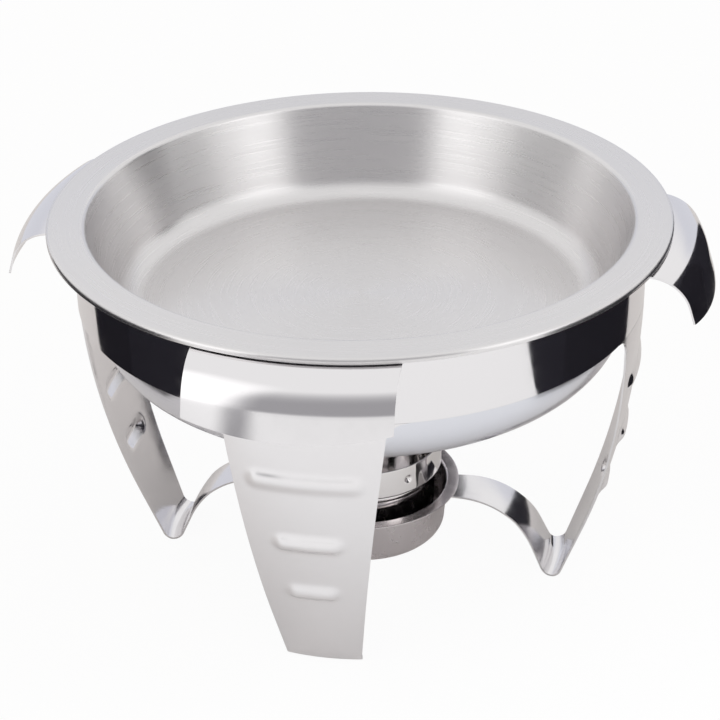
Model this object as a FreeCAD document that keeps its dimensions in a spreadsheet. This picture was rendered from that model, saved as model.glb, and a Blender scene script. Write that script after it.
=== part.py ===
import FreeCAD, Part
import math
import os
import Sketcher
from FreeCAD import Placement, Rotation, Vector

# Round chafing dish without its cover: a polished stand (ring, four legs, four
# handles, fuel dish) that carries a water pan, a food pan and a loose fuel cup.
# Origin: floor level on the centre line. +Z up, millimetres. Front leg on -Y.

SIZES = [
    # overall
    ("rim_top", 250.0, "height of the food pan rim above the table"),
    ("gauge", 1.2, "sheet thickness of the pans and the stand"),
    ("dish_gauge", 1.0, "sheet thickness of the fuel dish"),
    ("cup_gauge", 0.9, "sheet thickness of the fuel cup"),
    ("seat_gap", 0.3, "clearance left between loose pieces"),
    ("lip_bend", 2.0, "outside radius of a pan's rim"),
    ("mouth_bend", 3.0, "radius between a pan's flange and wall"),
    # water pan, which the food pan's rim covers and the ring carries
    ("water_mouth_radius", 175.2, "wall and flange corner"),
    ("water_flange", 18.0, "width of the flange"),
    ("water_lip_drop", 2.2, "turned-down edge of the flange"),
    ("water_wall_lean", 6.9, "degrees from upright"),
    ("water_floor_bend", 40.8, "inside radius between wall and floor"),
    ("water_depth", 94.9, "flange down to the inside floor"),
    # food pan
    ("food_flange", 23.5, "width of the flange"),
    ("food_lip_drop", 3.4, "turned-down edge of the flange"),
    ("food_wall_lean", 19.3, "degrees from upright"),
    ("food_floor_bend", 18.0, "inside radius between wall and floor"),
    ("food_depth", 60.0, "flange down to the inside floor"),
    # ring
    ("ring_height", 48.0, "height of the ring band"),
    # legs
    ("leg_bow_radius", 465.0, "outer face of the bowed leg"),
    ("leg_bow_turn", 20.0, "degrees the leg leans in at its foot"),
    ("foot_bend", 7.5, "outside radius of the foot"),
    ("arm_climb", 65.0, "degrees from level where the arm leaves the foot"),
    ("arm_arch_radius", 54.0, "top face of the arched arm"),
    ("arm_top_height", 50.0, "top of the arm, under the dish flange"),
    ("arm_end_gap", 1.8, "from the dish's mouth out to the arm's end"),
    ("leg_sweep", 52.0, "degrees of shell that each leg is cut from"),
    ("foot_half_width", 23.4, "half the width of the foot"),
    ("leg_taper", 0.129, "half width gained per mm of height"),
    ("shoulder_radius", 13.0, "fillet where the leg widens into the ring"),
    ("arm_root_inset", 47.9, "from the ring's outside in to the start of the arm's taper"),
    ("arm_mid_inset", 75.4, "from the ring's outside in to where the taper eases"),
    ("arm_mid_half_width", 16.6, "half width there"),
    ("arm_end_half_width", 12.4, "half width at the dish"),
    # pressed ribs across each leg
    ("rib_radius", 13.0, "outside radius of a rib and of its domed ends"),
    ("rib_rise", 3.2, "height of a rib above the leg"),
    ("upper_rib_drop", 42.0, "upper rib below the ring"),
    ("middle_rib_drop", 89.0, "middle rib below the ring"),
    ("lower_rib_drop", 130.0, "lower rib below the ring"),
    ("upper_rib_half", 23.5, "half length of the upper rib between its ends"),
    ("middle_rib_half", 14.5, "half length of the middle rib between its ends"),
    ("lower_rib_half", 9.5, "half length of the lower rib between its ends"),
    # handles
    ("handle_half_width", 59.5, "half the width of a handle"),
    ("handle_sweep", 52.0, "degrees of shell that each handle is cut from"),
    ("handle_step", 1.0, "level part of a handle below the ring's upper edge"),
    ("handle_run", 12.6, "level part of a handle, out from the ring"),
    ("handle_bend", 27.0, "outside radius of the bend"),
    ("handle_slope", 73.0, "degrees below level of the grip"),
    ("handle_drop", 34.5, "level part down to the lowest point of the free edge"),
    ("handle_edge_radius", 356.0, "curve of the free edge"),
    # fuel dish
    ("dish_mouth_radius", 55.4, "wall and flange corner"),
    ("dish_flange", 8.2, "width of the flange"),
    ("dish_mouth_bend", 2.0, "radius between flange and wall"),
    ("dish_wall_lean", 5.0, "degrees from upright"),
    ("dish_floor_bend", 7.0, "inside radius between wall and floor"),
    ("dish_depth", 34.2, "flange down to the inside floor"),
    # fuel cup
    ("cup_side_gap", 3.4, "from the dish's mouth in to the cup's collar"),
    ("cup_foot_gap", 0.5, "under the cup's floor"),
    ("cup_depth", 66.8, "rim down to the inside floor"),
    ("cup_collar_height", 18.5, "straight part of the collar"),
    ("cup_step_bend", 1.2, "inside radius under the collar"),
    ("cup_step_run", 2.2, "straight part of the step"),
    ("cup_neck_bend", 2.0, "inside radius of the neck"),
    ("cup_bead_bend", 3.4, "inside radius of the bead"),
    ("cup_body_bend", 4.0, "radius back to the straight body"),
    ("cup_floor_bend", 4.0, "inside radius between wall and floor"),
    ("dimple_radius", 3.4, "ball radius of a locating dimple"),
    ("dimple_depth", 1.6, "depth of a locating dimple"),
    ("dimple_drop", 9.5, "rim down to the dimples"),
]

# Heights and radii that follow from those sizes, as sums of the sheet's cells.
FOOD_TOP = "rim_top"
WATER_TOP = FOOD_TOP + " - gauge - seat_gap"
WATER_MOUTH = "water_mouth_radius"
WATER_RIM = WATER_MOUTH + " + water_flange"
FOOD_RIM = WATER_RIM + " + seat_gap + seat_gap + gauge"
FOOD_MOUTH = FOOD_RIM + " - food_flange"
RING = WATER_MOUTH + " + mouth_bend + gauge"
RING_TOP = WATER_TOP + " - gauge - seat_gap"
RING_BOTTOM = RING_TOP + " - ring_height"
HANDLE_TOP = RING_TOP + " - handle_step"
HANDLE_START = RING + " + handle_run"
DISH_TOP = "arm_top_height + dish_gauge"
DISH_FLOOR = DISH_TOP + " - dish_depth"
ARM_END = "dish_mouth_radius + arm_end_gap"
CUP_RIM = "dish_mouth_radius - cup_side_gap"
CUP_FLOOR = DISH_FLOOR + " + cup_foot_gap + cup_gauge"
CUP_TOP = CUP_FLOOR + " + cup_depth"
DIMPLE_HEIGHT = CUP_TOP + " - dimple_drop"

os.makedirs("parts", exist_ok=True)
doc = FreeCAD.newDocument("chafing_dish")
sheet = doc.addObject("Spreadsheet::Sheet", "sizes")
for row, (alias, value, note) in enumerate(SIZES, start=1):
    sheet.set("A%d" % row, alias)
    sheet.set("B%d" % row, str(value))
    sheet.set("C%d" % row, note)
    sheet.setAlias("B%d" % row, alias)
doc.recompute()


def size(alias):
    """Read one size from the sheet."""
    return float(sheet.get(alias))


def value_of(terms):
    """Value of sheet aliases joined by plus and minus signs, such as "bend + gauge"."""
    words = terms.split()
    total = size(words[0])
    for sign, alias in zip(words[1::2], words[2::2]):
        total += size(alias) if sign == "+" else -size(alias)
    return total


def cell(terms):
    """The same sum written as an expression on the sheet's cells."""
    words = terms.split()
    return " ".join(word if word in "+-" else "sizes." + word for word in words)


class Strip:
    """Cross-section of bent sheet: a face path plus the same path one gauge away.

    side is +1 when the second face lies to the left of the direction of travel
    and -1 when it lies to the right. Angles are degrees, x outward, y up. Each
    bend names the sheet cell that its radius is bound to.
    """

    def __init__(self, x, y, heading, gauge, side):
        self.x = x
        self.y = y
        self.heading = heading
        self.gauge = gauge
        self.side = side
        self.face = []
        self.back = []

    def offset_point(self, x, y):
        left = math.radians(self.heading + 90.0)
        reach = size(self.gauge) * self.side
        return x + reach * math.cos(left), y + reach * math.sin(left)

    def forward(self, length):
        rad = math.radians(self.heading)
        x2 = self.x + length * math.cos(rad)
        y2 = self.y + length * math.sin(rad)
        self.face.append(("line", (self.x, self.y), (x2, y2)))
        self.back.append(("line", self.offset_point(self.x, self.y), self.offset_point(x2, y2)))
        self.x = x2
        self.y = y2

    def turn(self, bend, degrees):
        """Bend by degrees (left positive); bend is the face path's radius."""
        radius = value_of(bend)
        sense = 1.0 if degrees > 0 else -1.0
        left = math.radians(self.heading + 90.0)
        cx = self.x + sense * radius * math.cos(left)
        cy = self.y + sense * radius * math.sin(left)
        start = math.degrees(math.atan2(self.y - cy, self.x - cx))
        end = start + degrees
        back = "%s %s %s" % (bend, "-" if sense * self.side > 0 else "+", self.gauge)
        self.face.append(("arc", (cx, cy), bend, start, end))
        self.back.append(("arc", (cx, cy), back, start, end))
        self.x = cx + radius * math.cos(math.radians(end))
        self.y = cy + radius * math.sin(math.radians(end))
        self.heading += degrees

    def forward_to_x(self, x):
        self.forward((x - self.x) / math.cos(math.radians(self.heading)))

    def forward_to_y(self, y):
        self.forward((y - self.y) / math.sin(math.radians(self.heading)))

    def bend_to_level(self, level, bend, degrees):
        """Run straight, then bend so that the path ends level at a given height."""
        drop = value_of(bend) * (1.0 - math.cos(math.radians(degrees)))
        self.forward_to_y(level + drop)
        self.turn(bend, degrees)

    def outline(self):
        """Closed outline of the strip."""
        first, last = end_points(self.face[0])[0], end_points(self.face[-1])[1]
        back_first, back_last = end_points(self.back[0])[0], end_points(self.back[-1])[1]
        caps = [("line", last, back_last), ("line", back_first, first)]
        return self.face + [caps[0]] + self.back + [caps[1]]


def end_points(item):
    """Both ends of a line or arc description."""
    if item[0] == "line":
        return item[1], item[2]
    centre, bend, start, end = item[1:]
    radius = value_of(bend)
    ends = []
    for angle in (start, end):
        rad = math.radians(angle)
        ends.append((centre[0] + radius * math.cos(rad), centre[1] + radius * math.sin(rad)))
    return ends[0], ends[1]


def new_body(label):
    body = doc.addObject("PartDesign::Body", label)
    body.Label = label
    return body


def origin_plane(body, role):
    for feature in body.Origin.OriginFeatures:
        if feature.Role == role:
            return feature
    raise ValueError("no origin plane " + role)


def draw(body, name, role, items, pins=()):
    """Add a sketch of lines, arcs and circles on one of the body's origin planes.

    Ends that meet are joined, radii are bound to the sheet, and each pin binds
    the place of one corner: ("x" or "y", sheet terms for its distance).
    """
    sketch = body.newObject("Sketcher::SketchObject", name)
    sketch.AttachmentSupport = [(origin_plane(body, role), "")]
    sketch.MapMode = "FlatFace"
    for item in items:
        sketch.addGeometry(sketch_shape(item), False)
    join_ends(sketch)
    for number, item in enumerate(items):
        if item[0] != "line":
            bind(sketch, Sketcher.Constraint("Radius", number, value_of(item[2])), item[2])
    for axis, terms in pins:
        pin_corner(sketch, axis, terms)
    doc.recompute()
    return sketch


def sketch_shape(item):
    """Sketch geometry of one line, arc or circle description."""
    if item[0] == "line":
        (x1, y1), (x2, y2) = item[1], item[2]
        return Part.LineSegment(Vector(x1, y1, 0), Vector(x2, y2, 0))
    cx, cy = item[1]
    circle = Part.Circle(Vector(cx, cy, 0), Vector(0, 0, 1), value_of(item[2]))
    if item[0] == "circle":
        return circle
    low, high = sorted((math.radians(item[3]), math.radians(item[4])))
    return Part.ArcOfCircle(circle, low, high)


def bind(sketch, constraint, terms):
    number = sketch.addConstraint(constraint)
    sketch.setExpression("Constraints[%d]" % number, cell(terms))


def corners(sketch):
    """(geometry number, 1 for its start or 2 for its end, point) for each open end."""
    found = []
    for number, shape in enumerate(sketch.Geometry):
        if isinstance(shape, Part.Circle):
            continue
        found.append((number, 1, shape.StartPoint))
        found.append((number, 2, shape.EndPoint))
    return found


def direction_at(shape, end):
    """Direction of a line or arc at one of its ends."""
    if isinstance(shape, Part.LineSegment):
        return (shape.EndPoint - shape.StartPoint).normalize()
    point = shape.StartPoint if end == 1 else shape.EndPoint
    spoke = (point - shape.Center).normalize()
    return Vector(-spoke.y, spoke.x, 0)


def join_ends(sketch):
    """Join ends that lie on each other, as a tangent where the run is smooth."""
    ends = corners(sketch)
    shapes = sketch.Geometry
    for index, (number, end, point) in enumerate(ends):
        for other_number, other_end, other in ends[index + 1:]:
            if number == other_number or point.distanceToPoint(other) > 1e-6:
                continue
            turn = direction_at(shapes[number], end).cross(
                direction_at(shapes[other_number], other_end)).Length
            kind = "Tangent" if turn < 1e-6 else "Coincident"
            sketch.addConstraint(Sketcher.Constraint(kind, number, end, other_number, other_end))


def pin_corner(sketch, axis, terms):
    """Bind the first corner that lies at this distance from the origin."""
    target = value_of(terms)
    for number, end, point in corners(sketch):
        if abs((point.x if axis == "x" else point.y) - target) < 1e-6:
            kind = "DistanceX" if axis == "x" else "DistanceY"
            bind(sketch, Sketcher.Constraint(kind, -1, 1, number, end, target), terms)
            return
    raise ValueError("no corner at %s = %s in %s" % (axis, terms, sketch.Name))


def polygon(points):
    """Closed chain of lines."""
    return [("line", a, b) for a, b in zip(points, points[1:] + points[:1])]


def revolve(body, sketch, name, binding=None, cut=False):
    """Turn a section about the upright axis; a part turn is centred on it."""
    kind = "PartDesign::Groove" if cut else "PartDesign::Revolution"
    feature = body.newObject(kind, name)
    feature.Profile = sketch
    feature.ReferenceAxis = (sketch, ["V_Axis"])
    feature.Angle = 360.0
    if binding:
        feature.Midplane = True
        feature.setExpression("Angle", binding)
    doc.recompute()
    return feature


def cut_through(body, sketch, name):
    """Pocket through the whole body on both sides; it has to remove something."""
    before = body.Shape.Volume
    feature = body.newObject("PartDesign::Pocket", name)
    feature.Profile = sketch
    feature.Type = "ThroughAll"
    feature.Midplane = True
    doc.recompute()
    if feature.Shape.Volume > before - 1.0:
        raise ValueError(name + " removes nothing")
    return feature


def turn_in_place(body, degrees):
    body.Placement = Placement(Vector(0, 0, 0), Rotation(Vector(0, 0, 1), degrees))
    doc.recompute()


def add_mouth(strip, corner, bend, lean):
    """Flange run and the bend from it down into a wall that leans in."""
    turn = 90.0 - size(lean)
    strip.forward_to_x(value_of(corner) + size(bend) * math.tan(math.radians(turn / 2.0)))
    strip.turn(bend, turn)
    return turn


def make_pan(kind, top, rim, mouth):
    """Flanged pan: lip up, flange in, wall down, floor to the centre line."""
    body = new_body(kind + "_pan")
    floor = "%s - %s_depth" % (top, kind)
    strip = Strip(value_of(rim), value_of(top) - size(kind + "_lip_drop"), 90.0, "gauge", 1)
    strip.forward_to_y(value_of(top) - size("lip_bend"))
    strip.turn("lip_bend", 90.0)
    turn = add_mouth(strip, mouth, "mouth_bend", kind + "_wall_lean")
    strip.bend_to_level(value_of(floor), kind + "_floor_bend", -turn)
    strip.forward_to_x(0.0)
    pins = [("x", rim), ("y", top), ("y", floor)]
    sketch = draw(body, kind + "_pan_section", "XZ_Plane", strip.outline(), pins)
    revolve(body, sketch, kind + "_pan_turned")
    return body


def make_ring():
    """Plain rolled band; its top edge carries the water pan's flange."""
    body = new_body("stand_ring")
    outer = value_of(RING)
    inner = outer - size("gauge")
    low = value_of(RING_BOTTOM)
    high = value_of(RING_TOP)
    items = polygon([(inner, low), (outer, low), (outer, high), (inner, high)])
    pins = [("x", RING), ("x", RING + " - gauge"), ("y", RING_BOTTOM), ("y", RING_TOP)]
    sketch = draw(body, "ring_section", "XZ_Plane", items, pins)
    revolve(body, sketch, "ring_turned")
    return body


def leg_section():
    """Leg, foot and arm as one strip, from the ring down and in to the dish."""
    lean = size("leg_bow_turn")
    climb = size("arm_climb")
    foot = size("foot_bend")
    strip = Strip(value_of(RING), value_of(RING_BOTTOM), 270.0, "gauge", -1)
    strip.turn("leg_bow_radius", -lean)
    strip.forward_to_y(foot * (1.0 - math.sin(math.radians(lean))))
    strip.turn("foot_bend", -(90.0 - lean + climb))
    under = value_of("arm_arch_radius - gauge")
    rise = under * (1.0 - math.cos(math.radians(climb)))
    strip.forward_to_y(value_of("arm_top_height - gauge") - rise)
    strip.turn("arm_arch_radius - gauge", climb)
    strip.forward_to_x(value_of(ARM_END))
    return strip.outline()


def leg_half_width(height):
    return size("foot_half_width") + size("leg_taper") * height


def leg_waste(side):
    """Sheet trimmed away beside the leg, seen from outside; side is 1 or -1."""
    below = -5.0
    beyond = value_of(RING)
    top = value_of(RING_BOTTOM)
    radius = size("shoulder_radius")
    edge = leg_half_width(top - radius)
    centre = (side * (edge + radius), top - radius)
    start = 90.0 if side > 0 else 0.0
    chain = [(side * edge, top - radius), (side * leg_half_width(below), below),
             (side * beyond, below), (side * beyond, top), (centre[0], top)]
    lines = [("line", a, b) for a, b in zip(chain, chain[1:])]
    return [("arc", centre, "shoulder_radius", start, start + 90.0)] + lines


def arm_waste(side):
    """Sheet trimmed away beside the arm, seen from above; side is 1 or -1."""
    beyond = value_of(RING)
    root = value_of(RING + " - arm_root_inset")
    middle = value_of(RING + " - arm_mid_inset")
    end = value_of(ARM_END) - 12.0
    return polygon([
        (root, side * size("foot_half_width")),
        (middle, side * size("arm_mid_half_width")),
        (end, side * size("arm_end_half_width")),
        (end, side * beyond),
        (root, side * beyond),
    ])


def rib_frame(drop):
    """Point on the leg's outer face and the direction it faces there."""
    bow = size("leg_bow_radius")
    facing = -math.degrees(math.asin(drop / bow))
    x = value_of(RING) - bow + bow * math.cos(math.radians(facing))
    return (x, value_of(RING_BOTTOM) - drop), facing


def rib_cap(drop, bend, level):
    """Circular cap over a chord that lies a given level off the leg's face."""
    (x, y), facing = rib_frame(drop)
    rad = math.radians(facing)
    back = value_of("rib_radius - rib_rise")
    centre = (x - back * math.cos(rad), y - back * math.sin(rad))
    half = math.degrees(math.acos((level + back) / value_of(bend)))
    return ("arc", centre, bend, facing - half, facing + half)


def add_rib_ends(body, kind, name, rib, cap):
    """Dome at each end of a rib: the rib's own cap turned about its middle."""
    centre, bend, start, end = cap[1:]
    facing = math.radians((start + end) / 2.0)
    spread = math.asin(size(rib + "_half") / value_of(RING))
    for side in (-1, 1):
        yaw = side * spread
        out = Vector(math.cos(facing) * math.cos(yaw), math.cos(facing) * math.sin(yaw),
                     math.sin(facing))
        middle = Vector(centre[0] * math.cos(yaw), centre[0] * math.sin(yaw), centre[1])
        dome = body.newObject(kind, "%s_%s" % (name, "left" if side < 0 else "right"))
        dome.setExpression("Radius", cell(bend))
        dome.Angle1 = 90.0 - (end - start) / 2.0
        dome.Angle2 = 90.0
        dome.Placement = Placement(middle, Rotation(Vector(0, 0, 1), out))
        doc.recompute()


def add_rib_layer(body, name, rib, cap, cut):
    """Turn the cap along the rib and close both ends with domes."""
    sweep = "2 * asin(sizes.%s_half / (%s))" % (rib, cell(RING))
    first, last = end_points(cap)
    section = draw(body, name + "_section", "XZ_Plane", [cap, ("line", last, first)])
    revolve(body, section, name, binding=sweep, cut=cut)
    kind = "PartDesign::SubtractiveSphere" if cut else "PartDesign::AdditiveSphere"
    add_rib_ends(body, kind, name, rib, cap)


def add_rib(body, prefix, rib):
    """Hollow rib pressed outward, domed at both ends."""
    gauge = size("gauge")
    drop = size(rib + "_drop")
    outside = rib_cap(drop, "rib_radius", -0.5 * gauge)
    add_rib_layer(body, prefix + "_raised", rib, outside, False)
    inside = rib_cap(drop, "rib_radius - gauge", -gauge - 1.0)
    add_rib_layer(body, prefix + "_hollow", rib, inside, True)


def make_leg(label, degrees):
    body = new_body(label)
    pins = [("x", RING), ("y", RING_BOTTOM), ("x", ARM_END)]
    sketch = draw(body, label + "_section", "XZ_Plane", leg_section(), pins)
    revolve(body, sketch, label + "_shell", binding="sizes.leg_sweep")
    front = draw(body, label + "_front", "YZ_Plane", leg_waste(1) + leg_waste(-1))
    cut_through(body, front, label + "_sides")
    plan = draw(body, label + "_plan", "XY_Plane", arm_waste(1) + arm_waste(-1))
    cut_through(body, plan, label + "_arm_sides")
    for rib in ("upper_rib", "middle_rib", "lower_rib"):
        add_rib(body, label + "_" + rib, rib)
    turn_in_place(body, degrees)
    return body


def handle_section():
    """Level plate from the ring, bend and steep grip; the second face is below."""
    strip = Strip(value_of(RING), value_of(HANDLE_TOP), 0.0, "gauge", -1)
    strip.forward_to_x(value_of(HANDLE_START))
    strip.turn("handle_bend", -size("handle_slope"))
    strip.forward_to_y(value_of(HANDLE_TOP + " - handle_drop") - 5.0)
    return strip.outline()


def handle_waste():
    """Sheet trimmed away beside and below a handle, seen from outside."""
    beyond = value_of(RING)
    lowest = value_of(HANDLE_TOP + " - handle_drop")
    below = lowest - value_of("handle_bend")
    above = value_of(HANDLE_TOP + " + handle_bend")
    half = size("handle_half_width")
    radius = size("handle_edge_radius")
    centre = (0.0, lowest + radius)
    spread = math.degrees(math.asin(half / radius))
    arc = ("arc", centre, "handle_edge_radius", 270.0 - spread, 270.0 + spread)
    first, last = end_points(arc)
    chain = [last, (half, above), (beyond, above), (beyond, below),
             (-beyond, below), (-beyond, above), (-half, above), first]
    return [arc] + [("line", a, b) for a, b in zip(chain, chain[1:])]


def make_handle(label, degrees):
    """Turned grip welded edge-on to the ring; its sides are cut parallel."""
    body = new_body(label)
    pins = [("x", RING), ("y", HANDLE_TOP), ("x", HANDLE_START)]
    sketch = draw(body, label + "_section", "XZ_Plane", handle_section(), pins)
    revolve(body, sketch, label + "_shell", binding="sizes.handle_sweep")
    front = draw(body, label + "_front", "YZ_Plane", handle_waste(), [("x", "handle_half_width")])
    cut_through(body, front, label + "_sides")
    turn_in_place(body, degrees)
    return body


def make_fuel_dish():
    """Fixed dish whose flange is welded on top of the four arms."""
    body = new_body("fuel_dish")
    rim = "dish_mouth_radius + dish_flange"
    strip = Strip(value_of(rim), value_of(DISH_TOP), 180.0, "dish_gauge", 1)
    turn = add_mouth(strip, "dish_mouth_radius", "dish_mouth_bend", "dish_wall_lean")
    strip.bend_to_level(value_of(DISH_FLOOR), "dish_floor_bend", -turn)
    strip.forward_to_x(0.0)
    pins = [("x", rim), ("y", DISH_TOP), ("y", DISH_FLOOR)]
    sketch = draw(body, "dish_section", "XZ_Plane", strip.outline(), pins)
    revolve(body, sketch, "dish_turned")
    return body


def cup_section():
    """Collar, neck, bead, straight body and flat floor; inner face first."""
    inner = value_of(CUP_RIM + " - cup_gauge")
    strip = Strip(inner, value_of(CUP_TOP), 270.0, "cup_gauge", 1)
    strip.forward(size("cup_collar_height"))
    strip.turn("cup_step_bend", -78.0)
    strip.forward(size("cup_step_run"))
    strip.turn("cup_neck_bend", 96.0)
    strip.turn("cup_bead_bend", -36.0)
    strip.turn("cup_body_bend", 18.0)
    strip.bend_to_level(value_of(CUP_FLOOR), "cup_floor_bend", -90.0)
    strip.forward_to_x(0.0)
    return strip.outline()


def make_fuel_cup():
    body = new_body("fuel_cup")
    pins = [("x", CUP_RIM + " - cup_gauge"), ("y", CUP_TOP), ("y", CUP_FLOOR)]
    sketch = draw(body, "cup_section", "XZ_Plane", cup_section(), pins)
    revolve(body, sketch, "cup_turned")
    add_dimples(body)
    return body


def add_dimple_balls(body, kind, name, radius):
    """One ball at each dimple: added for its back, then cut away for its hollow."""
    reach = value_of(CUP_RIM + " + dimple_radius - dimple_depth")
    height = value_of(DIMPLE_HEIGHT)
    for number in range(4):
        angle = math.radians(-45.0 + 90.0 * number)
        ball = body.newObject(kind, "%s_%d" % (name, number + 1))
        ball.setExpression("Radius", cell(radius))
        centre = Vector(reach * math.cos(angle), reach * math.sin(angle), height)
        ball.Placement = Placement(centre, Rotation())
        doc.recompute()


def add_dimples(body):
    """Four shallow dents pressed inward round the collar, between the arms."""
    add_dimple_balls(body, "PartDesign::AdditiveSphere", "dimple_back", "dimple_radius + cup_gauge")
    add_dimple_balls(body, "PartDesign::SubtractiveSphere", "dimple", "dimple_radius")
    collar = value_of(CUP_RIM)
    height = value_of(DIMPLE_HEIGHT)
    reach = 9.0
    items = polygon([
        (collar, height - reach), (collar + reach, height - reach),
        (collar + reach, height + reach), (collar, height + reach)])
    sketch = draw(body, "dimple_trim", "XZ_Plane", items, [("x", CUP_RIM)])
    revolve(body, sketch, "collar_cleaned", cut=True)


def check_document():
    """Every object of the document has to have come out sound."""
    for item in doc.Objects:
        if any(word in ("Invalid", "Error") for word in item.State):
            raise ValueError("feature failed: " + item.Name)


def export(body):
    """Write one sub-part after checking that it is a single sound solid."""
    shape = body.Shape
    if shape.isNull() or not shape.isValid() or len(shape.Solids) != 1:
        raise ValueError("bad shape: " + body.Label)
    shape.exportStep("parts/%s.step" % body.Label)
    print("%-14s %9.0f mm3" % (body.Label, shape.Volume))


def main():
    bodies = [
        make_pan("food", FOOD_TOP, FOOD_RIM, FOOD_MOUTH),
        make_pan("water", WATER_TOP, WATER_RIM, WATER_MOUTH),
        make_ring(),
        make_fuel_dish(),
        make_fuel_cup(),
    ]
    sides = (("front", -90.0), ("right", 0.0), ("back", 90.0), ("left", 180.0))
    for word, degrees in sides:
        bodies.append(make_leg("leg_" + word, degrees))
    for word, degrees in sides:
        bodies.append(make_handle("handle_" + word, degrees))
    doc.recompute()
    check_document()
    for body in bodies:
        export(body)


main()
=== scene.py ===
"""Round chafing dish without its cover: food pan, water pan, stand and fuel cup."""

import math

import bpy
from bpy.props import FloatProperty, FloatVectorProperty, PointerProperty, StringProperty
from mathutils import Matrix, Vector


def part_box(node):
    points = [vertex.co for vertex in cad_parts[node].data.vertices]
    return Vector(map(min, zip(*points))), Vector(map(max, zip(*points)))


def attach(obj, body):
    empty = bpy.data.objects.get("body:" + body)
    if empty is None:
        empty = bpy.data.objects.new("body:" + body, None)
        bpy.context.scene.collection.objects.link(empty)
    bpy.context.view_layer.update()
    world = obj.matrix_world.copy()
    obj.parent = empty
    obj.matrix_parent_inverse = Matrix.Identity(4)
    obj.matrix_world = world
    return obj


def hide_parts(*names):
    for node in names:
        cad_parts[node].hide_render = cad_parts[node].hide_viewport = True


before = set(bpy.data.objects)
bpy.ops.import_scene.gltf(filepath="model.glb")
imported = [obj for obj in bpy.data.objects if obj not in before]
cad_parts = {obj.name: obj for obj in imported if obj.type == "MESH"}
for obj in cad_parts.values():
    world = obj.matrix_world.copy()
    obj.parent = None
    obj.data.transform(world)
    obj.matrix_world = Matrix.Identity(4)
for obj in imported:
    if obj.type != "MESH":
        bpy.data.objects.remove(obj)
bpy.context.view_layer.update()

bl_info = {
    "name": "Round chafing dish",
    "version": (1, 0, 0),
    "blender": (4, 5, 0),
    "location": "3D View > Sidebar > Chafing dish",
    "description": "Models the pans, stand, handles and fuel cup of a round chafing dish",
    "category": "Object",
}

# Where the four legs and handles stand, in degrees about the upright axis.
SIDES = (("front", -90.0), ("right", 0.0), ("back", 90.0), ("left", 180.0))
# Sheet of the pans and the stand, of the fuel dish and of the fuel cup, in metres.
SHEET = 0.0012
DISH_SHEET = 0.001
CUP_SHEET = 0.0009
# Points closer than this are one point, and shorter edges are slivers, in metres.
SAME_POINT = 1e-6
SLIVER = 2e-5
# A leg's rows of points are level to within this, in metres.
ROW_ERROR = 1e-5
# The ribbed part of a leg lies beyond this x and all of its arm within it, in metres.
LEG_INSIDE = 0.15
# Legs and handles are drawn this wide, in degrees, and then cut to their outline.
STRIP_TURN = 44.0


# Sizes that a user would change, in metres --------------------------------------


def top_of(node):
    """Height of a CAD node's highest point."""
    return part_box(node)[1].z


def bottom_of(node):
    """Height of a CAD node's lowest point."""
    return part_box(node)[0].z


def reach_of(node):
    """How far a CAD node reaches from the upright axis."""
    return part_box(node)[1].x


def half_width_of(node):
    """How far a CAD node reaches to the side."""
    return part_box(node)[1].y


def length(name, default, description):
    """A length property with its name, description and default."""
    return FloatProperty(name=name, description=description, default=default, min=0.0,
                         unit="LENGTH")


def lengths(name, default, description):
    """Three lengths in one property."""
    return FloatVectorProperty(name=name, description=description, default=default, size=3,
                               unit="LENGTH")


def slope(name, default, description):
    """An angle property given in degrees."""
    return FloatProperty(name=name, description=description, default=math.radians(default),
                         subtype="ANGLE")


class PanSizes(bpy.types.PropertyGroup):
    """Sheet and the two nested pans"""

    gauge: length("Sheet", SHEET, "Thickness of the pans and the stand")
    lip_bend: length("Lip bend", 0.002, "Outside radius of a pan's rim")
    mouth_bend: length("Mouth bend", 0.003, "Radius between a pan's flange and wall")
    food_rim: length("Food pan rim", reach_of("food_pan"), "Outside radius of the food pan's flange")
    food_top: length("Food pan top", top_of("food_pan"), "Height of the food pan's flange")
    food_lip: length("Food pan lip", 0.0034, "Turned-down edge of the food pan")
    food_mouth: length("Food pan mouth", 0.1715, "Radius where flange and wall meet")
    food_lean: slope("Food pan wall", 19.3, "Lean of the food pan's wall from upright")
    food_floor_bend: length("Food pan floor bend", 0.018, "Radius between wall and floor")
    food_floor: length("Food pan floor", bottom_of("food_pan") + SHEET, "Height of the food pan's floor")
    water_rim: length("Water pan rim", reach_of("water_pan"), "Outside radius of the water pan's flange")
    water_top: length("Water pan top", top_of("water_pan"), "Height of the water pan's flange")
    water_lip: length("Water pan lip", 0.0022, "Turned-down edge of the water pan")
    water_mouth: length("Water pan mouth", 0.1752, "Radius where flange and wall meet")
    water_lean: slope("Water pan wall", 6.9, "Lean of the water pan's wall from upright")
    water_floor_bend: length("Water pan floor bend", 0.0408, "Radius between wall and floor")
    water_floor: length("Water pan floor", bottom_of("water_pan") + SHEET,
                        "Height of the water pan's floor")


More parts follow.
